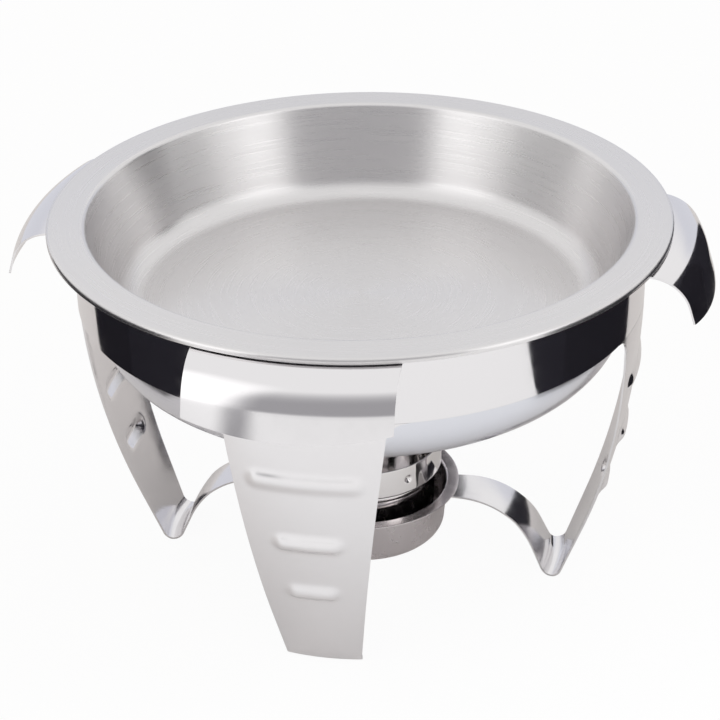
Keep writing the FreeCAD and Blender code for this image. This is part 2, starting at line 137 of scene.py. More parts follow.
class StandSizes(bpy.types.PropertyGroup):
    """Ring, legs and handles"""

    ring_radius: length("Ring radius", reach_of("stand_ring"), "Outside of the ring band")
    ring_bottom: length("Ring bottom", bottom_of("stand_ring"), "Lower edge of the ring band")
    ring_top: length("Ring top", top_of("stand_ring"), "Upper edge of the ring band")
    bow_radius: length("Leg bow", 0.465, "Radius of the bowed leg")
    bow_turn: slope("Leg lean", 20.0, "How far the leg leans in at its foot")
    foot_bend: length("Foot bend", 0.0075, "Outside radius of the foot")
    foot_half: length("Foot half width", 0.0234, "Half the width of the foot")
    leg_taper: FloatProperty(name="Leg taper", default=0.129,
                             description="Half width gained per metre of height")
    shoulder: length("Shoulder", 0.013, "Fillet where the leg widens into the ring")
    arm_climb: slope("Arm climb", 65.0, "Slope of the arm where it leaves the foot")
    arm_arch: length("Arm arch", 0.0528, "Radius of the arm's underside")
    arm_under: length("Arm height", 0.0488, "Height of the arm's underside at the dish")
    arm_end: length("Arm end", 0.0572, "Where the arm stops beside the fuel dish")
    arm_root: length("Arm root", 0.1315, "Where the arm's taper starts")
    arm_mid: length("Arm middle", 0.104, "Where the arm's taper eases")
    arm_mid_half: length("Arm middle half width", 0.0166, "Half width there")
    arm_far: length("Arm taper end", 0.0452, "Where the second taper would end")
    arm_far_half: length("Arm far half width", 0.0124, "Half width there")
    rib_heights: lengths("Rib heights", (0.157, 0.110, 0.069), "Height of the upper, middle and lower rib")
    rib_halves: lengths("Rib half lengths", (0.0290, 0.0170, 0.0115), "Half the length of each rib")
    rib_rises: lengths("Rib rises", (0.0022, 0.0030, 0.0030), "How far each rib stands out of the leg")
    rib_reach: length("Rib reach", 0.0088, "Half the width of a rib")
    handle_half: length("Handle half width", half_width_of("handle_right"), "Half the width of a handle")
    handle_top: length("Handle top", top_of("handle_right"), "Height of the level part of a handle")
    handle_start: length("Handle bend start", 0.192, "Radius where the handle turns down")
    handle_bend: length("Handle bend", 0.027, "Outside radius of the handle's bend")
    handle_slope: slope("Handle slope", 73.0, "Slope of the grip below level")
    handle_low: length("Handle low edge", 0.2115, "Lowest point of the free edge")
    handle_spare: length("Handle spare", 0.004, "Sheet below the free edge that is trimmed off")
    handle_curve: length("Handle edge curve", 0.356, "Radius of the free edge")


class FuelSizes(bpy.types.PropertyGroup):
    """Fuel dish and fuel cup"""

    dish_gauge: length("Dish sheet", DISH_SHEET, "Thickness of the fuel dish")
    dish_rim: length("Dish rim", reach_of("fuel_dish"), "Outside radius of the dish's flange")
    dish_top: length("Dish top", top_of("fuel_dish"), "Height of the dish's flange")
    dish_mouth: length("Dish mouth", 0.0554, "Radius where flange and wall meet")
    dish_mouth_bend: length("Dish mouth bend", 0.002, "Radius between flange and wall")
    dish_lean: slope("Dish wall", 5.0, "Lean of the dish's wall")
    dish_floor_bend: length("Dish floor bend", 0.007, "Radius between wall and floor")
    dish_floor: length("Dish floor", bottom_of("fuel_dish") + DISH_SHEET, "Height of the dish's floor")
    cup_gauge: length("Cup sheet", CUP_SHEET, "Thickness of the fuel cup")
    cup_rim: length("Cup rim", reach_of("fuel_cup"), "Outside radius of the cup's collar")
    cup_top: length("Cup top", top_of("fuel_cup"), "Height of the cup's rim")
    cup_collar: length("Cup collar", 0.0185, "Straight part of the collar")
    cup_step_bend: length("Cup step bend", 0.0012, "Bend under the collar")
    cup_step_run: length("Cup step", 0.0022, "Straight part of the step")
    cup_neck_bend: length("Cup neck bend", 0.002, "Bend of the neck")
    cup_bead_bend: length("Cup bead bend", 0.0034, "Bend of the bead")
    cup_body_bend: length("Cup body bend", 0.004, "Bend back to the straight body")
    cup_floor_bend: length("Cup floor bend", 0.004, "Radius between wall and floor")
    cup_floor: length("Cup floor", bottom_of("fuel_cup") + CUP_SHEET, "Height of the cup's floor")
    dent_height: length("Dent height", 0.0755, "Height of the four dents in the collar")
    dent_depth: length("Dent depth", 0.0016, "Depth of a dent")
    dent_reach: length("Dent reach", 0.0036, "Radius of a dent")


def shade(name, default, description):
    """A colour property written as an sRGB hex value."""
    return StringProperty(name=name, description=description, default=default)


class FinishColours(bpy.types.PropertyGroup):
    """sRGB colours of the metals and of the floor"""

    satin: shade("Satin steel", "#DDDBDB", "Flange and inside of the food pan")
    under: shade("Water pan steel", "#DDDEE4", "Water pan, slightly blue")
    bright: shade("Bright steel", "#E5E3E4", "Ring, legs and handles")
    dish: shade("Dish steel", "#DAD4D5", "Drawn fuel dish")
    cup: shade("Cup steel", "#EAE7E6", "Fuel cup")
    floor: shade("Floor", "#F4F4F4", "Board in front of the dish")
    # The grey behind the dish is painted shade: the floor there lies dimmer, behind the pan and away from
    # the lamps.
    floor_painted_shade: shade("Floor behind", "#D2CDCA", "Board behind the dish")


class StageSizes(bpy.types.PropertyGroup):
    """Camera, lamps, floor and surroundings"""

    eye: lengths("Eye", (0.2238, -1.1102, 0.7763), "Where the camera stands")
    heading: slope("Heading", 11.469, "Turn of the camera to the left")
    tilt: slope("Tilt", 60.687, "Tilt of the camera from straight down")
    roll: slope("Roll", -1.0375, "Roll of the camera")
    lens: FloatProperty(name="Lens", description="Focal length in millimetres", default=99.548)
    sky: FloatProperty(name="Sky", description="Strength of the white surroundings", default=1.0)
    board: length("Floor", 12.0, "Side of the square floor")
    lamp_side: length("Lamp", 1.2, "Side of a square lamp")
    lamp_power: FloatProperty(name="Lamp power", description="Power of a lamp", default=7.0, unit="POWER")


# Helpers ------------------------------------------------------------------------


def clear_selection():
    """Object mode with nothing selected."""
    if bpy.context.mode != "OBJECT":
        bpy.ops.object.mode_set(mode="OBJECT")
    bpy.ops.object.select_all(action="DESELECT")


def select_only(piece):
    """Object mode, with just this piece selected and active."""
    clear_selection()
    piece.select_set(True)
    bpy.context.view_layer.objects.active = piece


def edit(piece, mode="FACE"):
    """Edit mode on this piece with nothing selected."""
    select_only(piece)
    bpy.ops.object.mode_set(mode="EDIT")
    bpy.ops.mesh.select_mode(type=mode)
    bpy.ops.mesh.select_all(action="DESELECT")


def pick(piece, mode, wanted):
    """Select the vertices or faces whose place passes the test; returns how many."""
    edit(piece, mode)
    bpy.ops.object.mode_set(mode="OBJECT")
    items = piece.data.vertices if mode == "VERT" else piece.data.polygons
    count = 0
    for item in items:
        chosen = wanted(item.co if mode == "VERT" else item.center)
        item.select = chosen
        count += chosen
    bpy.ops.object.mode_set(mode="EDIT")
    return count


class SheetPath:
    """Section of bent sheet, drawn as a wire by extruding and spinning its end.

    Headings and turns are degrees, x outward and z up; a left turn is positive.
    """

    def __init__(self, name, x, z, heading):
        """Start with one point at x and z."""
        clear_selection()
        bpy.ops.mesh.primitive_plane_add(size=0.01, location=(0.0, 0.0, 0.0))
        self.piece = bpy.context.object
        self.piece.name = name
        self.piece.data.name = name
        bpy.ops.object.mode_set(mode="EDIT")
        bpy.ops.mesh.select_mode(type="VERT")
        bpy.ops.mesh.select_all(action="SELECT")
        bpy.ops.mesh.merge(type="CENTER")
        bpy.ops.transform.translate(value=(x, 0.0, z))
        self.x = x
        self.z = z
        self.heading = heading

    def forward(self, distance, cuts=1):
        """Straight run, in equal cuts."""
        rad = math.radians(self.heading)
        dx = distance * math.cos(rad)
        dz = distance * math.sin(rad)
        for _ in range(cuts):
            move = {"value": (dx / cuts, 0.0, dz / cuts)}
            bpy.ops.mesh.extrude_region_move(TRANSFORM_OT_translate=move)
        self.x += dx
        self.z += dz

    def forward_to_x(self, x, cuts=1):
        """Straight run that ends at this x."""
        self.forward((x - self.x) / math.cos(math.radians(self.heading)), cuts)

    def forward_to_z(self, z, cuts=1):
        """Straight run that ends at this height."""
        self.forward((z - self.z) / math.sin(math.radians(self.heading)), cuts)

    def turn(self, radius, degrees, step=6.0):
        """Bend of the drawn face about its own radius, one edge for each step of degrees."""
        sense = 1.0 if degrees > 0 else -1.0
        left = math.radians(self.heading + 90.0)
        cx = self.x + sense * radius * math.cos(left)
        cz = self.z + sense * radius * math.sin(left)
        steps = max(2, round(abs(degrees) / step))
        bpy.ops.mesh.spin(steps=steps, dupli=False, angle=math.radians(degrees),
                          center=(cx, 0.0, cz), axis=(0.0, 1.0, 0.0))
        start = math.atan2(self.z - cz, self.x - cx)
        end = start + math.radians(degrees)
        self.x = cx + radius * math.cos(end)
        self.z = cz + radius * math.sin(end)
        self.heading += degrees

    def turn_to_level(self, level, radius, degrees, cuts=1):
        """Run straight, then bend so that the path ends level at this height."""
        drop = radius * (1.0 - math.cos(math.radians(degrees)))
        self.forward_to_z(level + drop, cuts)
        self.turn(radius, degrees)

    def turned(self, degrees, columns):
        """Shell of this section turned about the upright axis, its middle on +X."""
        bpy.ops.mesh.select_all(action="SELECT")
        bpy.ops.mesh.spin(steps=columns, dupli=False, angle=math.radians(degrees),
                          center=(0.0, 0.0, 0.0), axis=(0.0, 0.0, 1.0))
        bpy.ops.mesh.select_all(action="SELECT")
        bpy.ops.mesh.remove_doubles(threshold=SAME_POINT)
        bpy.ops.mesh.normals_make_consistent(inside=False)
        bpy.ops.object.mode_set(mode="OBJECT")
        if degrees < 360.0:
            middle = sum((v.co for v in self.piece.data.vertices), Vector())
            turn_piece(self.piece, -math.atan2(middle.y, middle.x))
        return self.piece


def turn_piece(piece, radians):
    """Turn a piece about the upright axis and keep the turn in its mesh."""
    select_only(piece)
    piece.rotation_euler.z = radians
    bpy.ops.object.transform_apply(location=False, rotation=True, scale=False)


def face_out(piece, near, direction):
    """Make the face nearest a point look in this direction, and the rest with it."""
    closest = min(piece.data.polygons, key=lambda face: (face.center - Vector(near)).length)
    if closest.normal.dot(Vector(direction)) < 0.0:
        edit(piece)
        bpy.ops.mesh.select_all(action="SELECT")
        bpy.ops.mesh.flip_normals()
        bpy.ops.object.mode_set(mode="OBJECT")


def add_modifier(piece, kind, **settings):
    """Add a modifier with its settings and apply it."""
    select_only(piece)
    modifier = piece.modifiers.new(kind.title(), kind)
    for key, value in settings.items():
        setattr(modifier, key, value)
    bpy.ops.object.modifier_apply(modifier=modifier.name)


def make_sheet(piece, gauge, edge=0.0002):
    """Merge slivers left where cuts cross, thicken behind the drawn face, soften cut edges."""
    square = math.radians(70.0)
    crease = math.radians(50.0)
    pick(piece, "FACE", lambda c: True)
    bpy.ops.mesh.dissolve_degenerate(threshold=SLIVER)
    bpy.ops.object.mode_set(mode="OBJECT")
    add_modifier(piece, "SOLIDIFY", thickness=gauge, offset=-1.0, use_even_offset=True, use_rim=True)
    add_modifier(piece, "BEVEL", width=edge, segments=2, limit_method="ANGLE",
                 angle_limit=square, profile=0.5)
    select_only(piece)
    bpy.ops.object.shade_smooth_by_angle(angle=crease)
    add_modifier(piece, "WEIGHTED_NORMAL", keep_sharp=True)


def cut(piece, wanted, point, normal, clear=True):
    """Slice the faces that pass the test; those of them beyond the plane go."""
    if not pick(piece, "FACE", wanted):
        raise RuntimeError("no face of %s to cut at %s" % (piece.name, tuple(point)))
    bpy.ops.mesh.bisect(plane_co=point, plane_no=normal, use_fill=False, threshold=SAME_POINT)
    if clear:
        beyond = Vector(normal)
        start = Vector(point)
        pick(piece, "FACE", lambda c: wanted(c) and (c - start).dot(beyond) > 0.0)
        bpy.ops.mesh.delete(type="FACE")
    bpy.ops.object.mode_set(mode="OBJECT")


def copy_piece(piece, name, radians):
    """A copy with its own mesh, turned about the upright axis."""
    select_only(piece)
    bpy.ops.object.duplicate(linked=False)
    twin = bpy.context.object
    twin.name = name
    twin.data.name = name
    turn_piece(twin, radians)
    return twin


def finish_piece(piece, body, nodes, material):
    """Metal, body, CAD nodes and material slot of a finished piece."""
    piece.data.materials.clear()
    piece.data.materials.append(material)
    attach(piece, body)
    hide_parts(*nodes)


def copy_to_sides(piece, word, material):
    """One finished copy on the frame for each side, in place of the CAD node named for it."""
    for side, degrees in SIDES:
        node = "%s_%s" % (word, side)
        twin = copy_piece(piece, node + "_skin", math.radians(degrees))
        finish_piece(twin, "frame", [node], material)
    bpy.data.objects.remove(piece)


# Metals -------------------------------------------------------------------------


def linear(hex_colour):
    """An sRGB hex colour as linear RGBA."""
    parts = [int(hex_colour[i:i + 2], 16) / 255.0 for i in (1, 3, 5)]
    return [p / 12.92 if p <= 0.04045 else ((p + 0.055) / 1.055) ** 2.4 for p in parts] + [1.0]


def add_node(tree, kind, settings=None, values=None, links=None):
    """Add a node, set its properties and input values, and link its inputs."""
    node = tree.nodes.new(kind)
    for key, value in (settings or {}).items():
        setattr(node, key, value)
    for key, value in (values or {}).items():
        node.inputs[key].default_value = value
    for key, socket in (links or {}).items():
        tree.links.new(socket, node.inputs[key])
    return node


def noise_scale(millimetres):
    """Scale of a noise on Object coordinates whose patches have this size."""
    return 1000.0 / millimetres


def new_metal(name, colour, roughness, anisotropy=0.0):
    """A named material with an opaque metal shader; returns (material, tree, shader).

    The quarter turn of the anisotropy makes brushing run round the axis.
    """
    material = bpy.data.materials.new(name)
    material.use_nodes = True
    tree = material.node_tree
    shader = tree.nodes["Principled BSDF"]
    shader.inputs["Base Color"].default_value = linear(colour)
    shader.inputs["Metallic"].default_value = 1.0
    shader.inputs["Roughness"].default_value = roughness
    shader.inputs["Anisotropic"].default_value = anisotropy
    shader.inputs["Anisotropic Rotation"].default_value = 0.25
    return material, tree, shader


def around_axis(tree, rings_per_metre, stretch):
    """Coordinates that count rings about the axis first, and then change slowly round it."""
    place = add_node(tree, "ShaderNodeTexCoord").outputs["Object"]
    parts = add_node(tree, "ShaderNodeSeparateXYZ", links={"Vector": place})
    x, y, z = (parts.outputs[name] for name in "XYZ")
    flat = add_node(tree, "ShaderNodeCombineXYZ", links={"X": x, "Y": y})
    radius = add_node(tree, "ShaderNodeVectorMath", {"operation": "LENGTH"},
                      links={0: flat.outputs[0]})
    unit = add_node(tree, "ShaderNodeVectorMath", {"operation": "NORMALIZE"},
                    links={0: flat.outputs[0]})
    level = add_node(tree, "ShaderNodeMath", {"operation": "ADD"},
                     links={0: radius.outputs["Value"], 1: z})
    rings = add_node(tree, "ShaderNodeMath", {"operation": "MULTIPLY"}, {1: rings_per_metre},
                     {0: level.outputs[0]})
    turn = add_node(tree, "ShaderNodeVectorMath", {"operation": "SCALE"}, {"Scale": stretch},
                    {0: unit.outputs[0]})
    swing = add_node(tree, "ShaderNodeSeparateXYZ", links={"Vector": turn.outputs[0]})
    return add_node(tree, "ShaderNodeCombineXYZ", links={
        "X": rings.outputs[0], "Y": swing.outputs["X"], "Z": swing.outputs["Y"]}).outputs[0]


def spun_steel(name, colour, roughness, spread):
    """18/10 stainless steel, spun and brushed on the lathe, satin or bright.

    The eye gets reflections drawn out across the brushing, broad on the satin
    pan and clearer on the bright one, fine rings round the centre and a slight
    unevenness left by the tool, about 9 mm across. The real lines are about
    0.2 mm apart; they are drawn 1.2 mm apart to show.
    """
    material, tree, shader = new_metal(name, colour, roughness, anisotropy=0.8)
    where = around_axis(tree, rings_per_metre=noise_scale(1.2), stretch=2.5)
    lines = add_node(tree, "ShaderNodeTexNoise",
                     values={"Scale": 1.0, "Detail": 4.0, "Roughness": 0.65}, links={"Vector": where})
    rough = add_node(tree, "ShaderNodeMapRange", values={
        "From Min": 0.3, "From Max": 0.7,
        "To Min": roughness - spread, "To Max": roughness + spread},
        links={"Value": lines.outputs["Fac"]})
    tree.links.new(rough.outputs[0], shader.inputs["Roughness"])
    place = add_node(tree, "ShaderNodeTexCoord").outputs["Object"]
    upright = add_node(tree, "ShaderNodeMapping", values={"Scale": (1.0, 1.0, 0.15)},
                       links={"Vector": place})
    chatter = add_node(tree, "ShaderNodeTexNoise",
                       values={"Scale": noise_scale(9.09), "Detail": 2.0, "Roughness": 0.5},
                       links={"Vector": upright.outputs[0]})
    bump = add_node(tree, "ShaderNodeBump", values={"Strength": 0.06, "Distance": 0.0004},
                    links={"Height": chatter.outputs["Fac"]})
    tree.links.new(bump.outputs[0], shader.inputs["Normal"])
    tangent = add_node(tree, "ShaderNodeTangent", {"direction_type": "RADIAL", "axis": "Z"})
    tree.links.new(tangent.outputs[0], shader.inputs["Tangent"])
    return material


def polished_steel(name, colour, roughness, spread, wave):
    """Stainless steel polished with a soft wheel after forming.

    The eye gets reflections that waver a little every 30 mm, near-mirror on
    the band, handles and cup and softer on the legs and the fuel dish, and
    faint cloudy marks where the wheel has passed, about 12 mm across.
    """
    material, tree, shader = new_metal(name, colour, roughness)
    place = add_node(tree, "ShaderNodeTexCoord").outputs["Object"]
    clouds = add_node(tree, "ShaderNodeTexNoise",
                      values={"Scale": noise_scale(12.5), "Detail": 3.0, "Roughness": 0.6},
                      links={"Vector": place})
    rough = add_node(tree, "ShaderNodeMapRange", values={
        "From Min": 0.35, "From Max": 0.65,
        "To Min": roughness - spread, "To Max": roughness + spread},
        links={"Value": clouds.outputs["Fac"]})
    tree.links.new(rough.outputs[0], shader.inputs["Roughness"])
    waves = add_node(tree, "ShaderNodeTexNoise",
                     values={"Scale": noise_scale(30.3), "Detail": 1.0, "Roughness": 0.4},
                     links={"Vector": place})
    bump = add_node(tree, "ShaderNodeBump", values={"Strength": wave, "Distance": 0.001},
                    links={"Height": waves.outputs["Fac"]})
    tree.links.new(bump.outputs[0], shader.inputs["Normal"])
    return material


# Pieces -------------------------------------------------------------------------


def draw_pan(name, top, rim, lip, mouth, lean, floor_bend, floor):
    """Pan section from the lip's edge over the flange and down to the centre."""
    sizes = bpy.context.scene.dish_pans
    path = SheetPath(name, rim, top - lip, 90.0)
    path.forward_to_z(top - sizes.lip_bend)
    path.turn(sizes.lip_bend, 90.0, step=15.0)
    wall = 90.0 - math.degrees(lean)
    path.forward_to_x(mouth + sizes.mouth_bend * math.tan(math.radians(wall / 2.0)), cuts=8)
    path.turn(sizes.mouth_bend, wall, step=10.0)
    path.turn_to_level(floor, floor_bend, -wall, cuts=16)
    path.forward_to_x(0.0, cuts=24)
    pan = path.turned(360.0, columns=192)
    face_out(pan, (mouth / 3.0, 0.0, floor), (0.0, 0.0, 1.0))
    make_sheet(pan, sizes.gauge)
    return pan


class DISH_OT_food_pan(bpy.types.Operator):
    """Model the food pan: flange, leaning wall and flat floor"""

    bl_idname = "dish.food_pan"
    bl_label = "Food pan"

    def execute(self, context):
        sizes = context.scene.dish_pans
        pan = draw_pan("food_pan_skin", sizes.food_top, sizes.food_rim, sizes.food_lip,
                       sizes.food_mouth, sizes.food_lean, sizes.food_floor_bend, sizes.food_floor)
        metal = spun_steel("Satin stainless, spun", context.scene.dish_colours.satin,
                           roughness=0.30, spread=0.055)
        finish_piece(pan, "food_pan", ["food_pan"], metal)
        return {"FINISHED"}


class DISH_OT_water_pan(bpy.types.Operator):
    """Model the deeper water pan that the food pan hangs in"""

    bl_idname = "dish.water_pan"
    bl_label = "Water pan"

    def execute(self, context):
        sizes = context.scene.dish_pans
        pan = draw_pan("water_pan_skin", sizes.water_top, sizes.water_rim, sizes.water_lip,
                       sizes.water_mouth, sizes.water_lean, sizes.water_floor_bend, sizes.water_floor)
        metal = spun_steel("Bright stainless, spun", context.scene.dish_colours.under,
                           roughness=0.16, spread=0.04)
        finish_piece(pan, "water_pan", ["water_pan"], metal)
        return {"FINISHED"}


class DISH_OT_ring(bpy.types.Operator):
    """Model the rolled band that carries the pans"""

    bl_idname = "dish.ring"
    bl_label = "Ring"

    def execute(self, context):
        sizes = context.scene.dish_stand
        path = SheetPath("stand_ring_skin", sizes.ring_radius, sizes.ring_bottom, 90.0)
        path.forward_to_z(sizes.ring_top, cuts=8)
        ring = path.turned(360.0, columns=288)
        face_out(ring, (sizes.ring_radius, 0.0, sizes.ring_top), (1.0, 0.0, 0.0))
        make_sheet(ring, context.scene.dish_pans.gauge)
        metal = polished_steel("Polished stainless band", context.scene.dish_colours.bright,
                               roughness=0.07, spread=0.02, wave=0.02)
        finish_piece(ring, "frame", ["stand_ring"], metal)
        return {"FINISHED"}


def draw_leg_shell(sizes):
    """Leg, foot and arm as one bent strip, before its sides are cut."""
    lean = math.degrees(sizes.bow_turn)
    climb = math.degrees(sizes.arm_climb)
    path = SheetPath("leg_skin", sizes.ring_radius, sizes.ring_bottom, 270.0)
    shoulder = math.degrees(math.asin(sizes.shoulder / sizes.bow_radius))
    path.turn(sizes.bow_radius, -shoulder, step=0.08)
    path.turn(sizes.bow_radius, shoulder - lean, step=0.18)
    path.forward_to_z(sizes.foot_bend * (1.0 - math.sin(sizes.bow_turn)), cuts=16)
    path.turn(sizes.foot_bend, -(90.0 - lean + climb), step=7.5)
    rise = sizes.arm_arch * (1.0 - math.cos(sizes.arm_climb))
    path.forward_to_z(sizes.arm_under - rise, cuts=6)
    path.turn(sizes.arm_arch, climb, step=2.5)
    path.forward_to_x(sizes.arm_end, cuts=8)
    leg = path.turned(STRIP_TURN, columns=96)
    face_out(leg, (sizes.ring_radius, 0.0, sizes.ring_bottom), (1.0, 0.0, 0.0))
    return leg


def leg_rows(leg, lowest=0.0):
    """Heights of the rows of points in the leg's strip, to the nearest micrometre."""
    return sorted({round(v.co.z, 6) for v in leg.data.vertices
                   if v.co.x > LEG_INSIDE and v.co.z > lowest - ROW_ERROR})


def press_rib(leg, sizes, height, half, rise):
    """Push a rib out of the leg along the row of points nearest its height."""
    facing = -math.asin((sizes.ring_bottom - height) / sizes.bow_radius)
    row = min(leg_rows(leg), key=lambda z: abs(z - height))
    reach = math.asin(half / sizes.ring_radius)
    pick(leg, "VERT", lambda c: abs(c.z - row) < ROW_ERROR and c.x > LEG_INSIDE
         and abs(math.atan2(c.y, c.x)) <= reach)
    out = Vector((math.cos(facing), 0.0, math.sin(facing))) * rise
    bpy.ops.transform.translate(value=out, use_proportional_edit=True,
                                proportional_edit_falloff="SMOOTH",
                                proportional_size=sizes.rib_reach)
    bpy.ops.object.mode_set(mode="OBJECT")


def trim_shoulders(leg, sizes):
    """Cut the concave fillets that widen the leg into the ring, one row of faces at a time."""
    start = sizes.ring_bottom - sizes.shoulder
    edge = sizes.foot_half + sizes.leg_taper * start
    corners = []
    for row in leg_rows(leg, start):
        rise = min(max((row - start) / sizes.shoulder, 0.0), 1.0)
        corners.append((edge + sizes.shoulder * (1.0 - math.sqrt(1.0 - rise * rise)), row))
    for side in (1.0, -1.0):
        for (y1, z1), (y2, z2) in zip(corners, corners[1:]):
            normal = Vector((0.0, side * (z2 - z1), -(y2 - y1))).normalized()
            cut(leg, lambda c: z1 < c.z < z2 and c.y * side > 0.0, (0.0, side * y1, z1), normal)


def trim_leg(leg, sizes):
    """Cut the shoulders, then the tapered sides of the leg and the arm."""
    trim_shoulders(leg, sizes)
    straight = sizes.ring_bottom - sizes.shoulder
    for side in (1.0, -1.0):
        normal = Vector((0.0, side, -sizes.leg_taper)).normalized()
        cut(leg, lambda c: c.z < straight and c.y * side > 0.0,
            (0.0, side * sizes.foot_half, 0.0), normal)
    for place in (sizes.arm_root, sizes.arm_mid):
        cut(leg, lambda c: c.x < LEG_INSIDE, (place, 0.0, 0.0), (1.0, 0.0, 0.0), clear=False)
    tapers = (
        (sizes.arm_mid, sizes.arm_root, sizes.arm_mid_half, sizes.foot_half),
        (sizes.arm_far, sizes.arm_mid, sizes.arm_far_half, sizes.arm_mid_half),
    )
    for inner, outer, inner_half, outer_half in tapers:
        for side in (1.0, -1.0):
            normal = Vector((-(outer_half - inner_half), side * (outer - inner), 0.0)).normalized()
            cut(leg, lambda c: inner < c.x < outer and c.y * side > 0.0,
                (inner, side * inner_half, 0.0), normal)


class DISH_OT_legs(bpy.types.Operator):
    """Model one leg with its foot, arm and pressed ribs, and copy it round"""

    bl_idname = "dish.legs"
    bl_label = "Legs"

    def execute(self, context):
        sizes = context.scene.dish_stand
        leg = draw_leg_shell(sizes)
        for height, half, rise in zip(sizes.rib_heights, sizes.rib_halves, sizes.rib_rises):
            press_rib(leg, sizes, height, half, rise)
        trim_leg(leg, sizes)
        make_sheet(leg, context.scene.dish_pans.gauge)
        metal = polished_steel("Satin stainless leg", context.scene.dish_colours.bright,
                               roughness=0.15, spread=0.03, wave=0.015)
        copy_to_sides(leg, "leg", metal)
        return {"FINISHED"}


def trim_free_edge(handle, sizes, cuts_a_side=6):
    """Cut the curved lower edge of a handle along the tangents of its arc."""
    centre = Vector((0.0, 0.0, sizes.handle_low + sizes.handle_curve))
    spread = math.asin(sizes.handle_half / sizes.handle_curve)
    for number in range(-cuts_a_side, cuts_a_side + 1):
        turn = spread * number / cuts_a_side
        out = Vector((0.0, math.sin(turn), -math.cos(turn)))
        cut(handle, lambda c: True, centre + out * sizes.handle_curve, out)


class DISH_OT_handles(bpy.types.Operator):
    """Model one turned-down grip and copy it round"""

    bl_idname = "dish.handles"
    bl_label = "Handles"

    def execute(self, context):
        sizes = context.scene.dish_stand
        path = SheetPath("handle_skin", sizes.ring_radius, sizes.handle_top, 0.0)
        path.forward_to_x(sizes.handle_start, cuts=6)
        path.turn(sizes.handle_bend, -math.degrees(sizes.handle_slope), step=3.0)
        path.forward_to_z(sizes.handle_low - sizes.handle_spare, cuts=10)
        handle = path.turned(STRIP_TURN, columns=88)
        face_out(handle, (sizes.ring_radius, 0.0, sizes.handle_top), (0.0, 0.0, 1.0))
        for side in (1.0, -1.0):
            cut(handle, lambda c: True, (0.0, side * sizes.handle_half, 0.0), (0.0, side, 0.0))
        trim_free_edge(handle, sizes)
        make_sheet(handle, context.scene.dish_pans.gauge, edge=0.0003)
        metal = polished_steel("Polished stainless handle", context.scene.dish_colours.bright,
                               roughness=0.09, spread=0.02, wave=0.015)
        copy_to_sides(handle, "handle", metal)
        return {"FINISHED"}


class DISH_OT_fuel_dish(bpy.types.Operator):
    """Model the fuel dish whose flange lies on the arms"""

    bl_idname = "dish.fuel_dish"
    bl_label = "Fuel dish"

    def execute(self, context):
        sizes = context.scene.dish_fuel
        path = SheetPath("fuel_dish_skin", sizes.dish_rim, sizes.dish_top, 180.0)
        wall = 90.0 - math.degrees(sizes.dish_lean)
        run = sizes.dish_mouth_bend * math.tan(math.radians(wall / 2.0))
        path.forward_to_x(sizes.dish_mouth + run, cuts=3)
        path.turn(sizes.dish_mouth_bend, wall, step=10.0)
        path.turn_to_level(sizes.dish_floor, sizes.dish_floor_bend, -wall, cuts=8)
        path.forward_to_x(0.0, cuts=10)
        dish = path.turned(360.0, columns=144)
        face_out(dish, (sizes.dish_mouth / 3.0, 0.0, sizes.dish_floor), (0.0, 0.0, 1.0))
        make_sheet(dish, sizes.dish_gauge)
        metal = polished_steel("Drawn stainless dish", context.scene.dish_colours.dish,
                               roughness=0.24, spread=0.05, wave=0.02)
        finish_piece(dish, "frame", ["fuel_dish"], metal)
        return {"FINISHED"}


def dent_collar(cup, sizes):
    """Four shallow dents pushed into the collar between the arms, on finer faces."""
    finer = sizes.dent_reach * 1.6
    for _, degrees in SIDES:
        turn = math.radians(degrees + 45.0)
        out = Vector((math.cos(turn), math.sin(turn), 0.0))
        place = out * (sizes.cup_rim - sizes.cup_gauge) + Vector((0.0, 0.0, sizes.dent_height))
        pick(cup, "FACE", lambda c: (c - place).length < finer)
        bpy.ops.mesh.subdivide(number_cuts=4)
        bpy.ops.object.mode_set(mode="OBJECT")
        nearest = min((v.co - place).length for v in cup.data.vertices)
        pick(cup, "VERT", lambda c: (c - place).length < nearest + SAME_POINT)
        bpy.ops.transform.translate(value=-out * sizes.dent_depth, use_proportional_edit=True,
                                    proportional_edit_falloff="SMOOTH",
                                    proportional_size=sizes.dent_reach)
        bpy.ops.object.mode_set(mode="OBJECT")


class DISH_OT_fuel_cup(bpy.types.Operator):
    """Model the loose fuel cup with its collar, neck, bead and dents"""

    bl_idname = "dish.fuel_cup"
    bl_label = "Fuel cup"

    def execute(self, context):
        sizes = context.scene.dish_fuel
        path = SheetPath("fuel_cup_skin", sizes.cup_rim - sizes.cup_gauge, sizes.cup_top, 270.0)
        path.forward(sizes.cup_collar, cuts=20)
        path.turn(sizes.cup_step_bend, -78.0, step=13.0)
        path.forward(sizes.cup_step_run)
        path.turn(sizes.cup_neck_bend, 96.0, step=12.0)
        path.turn(sizes.cup_bead_bend, -36.0, step=9.0)
        path.turn(sizes.cup_body_bend, 18.0, step=9.0)
        path.turn_to_level(sizes.cup_floor, sizes.cup_floor_bend, -90.0, cuts=10)
        path.forward_to_x(0.0, cuts=10)
        cup = path.turned(360.0, columns=240)
        face_out(cup, (sizes.cup_rim / 3.0, 0.0, sizes.cup_floor), (0.0, 0.0, 1.0))
        dent_collar(cup, sizes)
        make_sheet(cup, sizes.cup_gauge)
        metal = polished_steel("Polished stainless cup", context.scene.dish_colours.cup,
                               roughness=0.06, spread=0.02, wave=0.02)
        finish_piece(cup, "fuel_cup", ["fuel_cup"], metal)
        return {"FINISHED"}


# Stage --------------------------------------------------------------------------


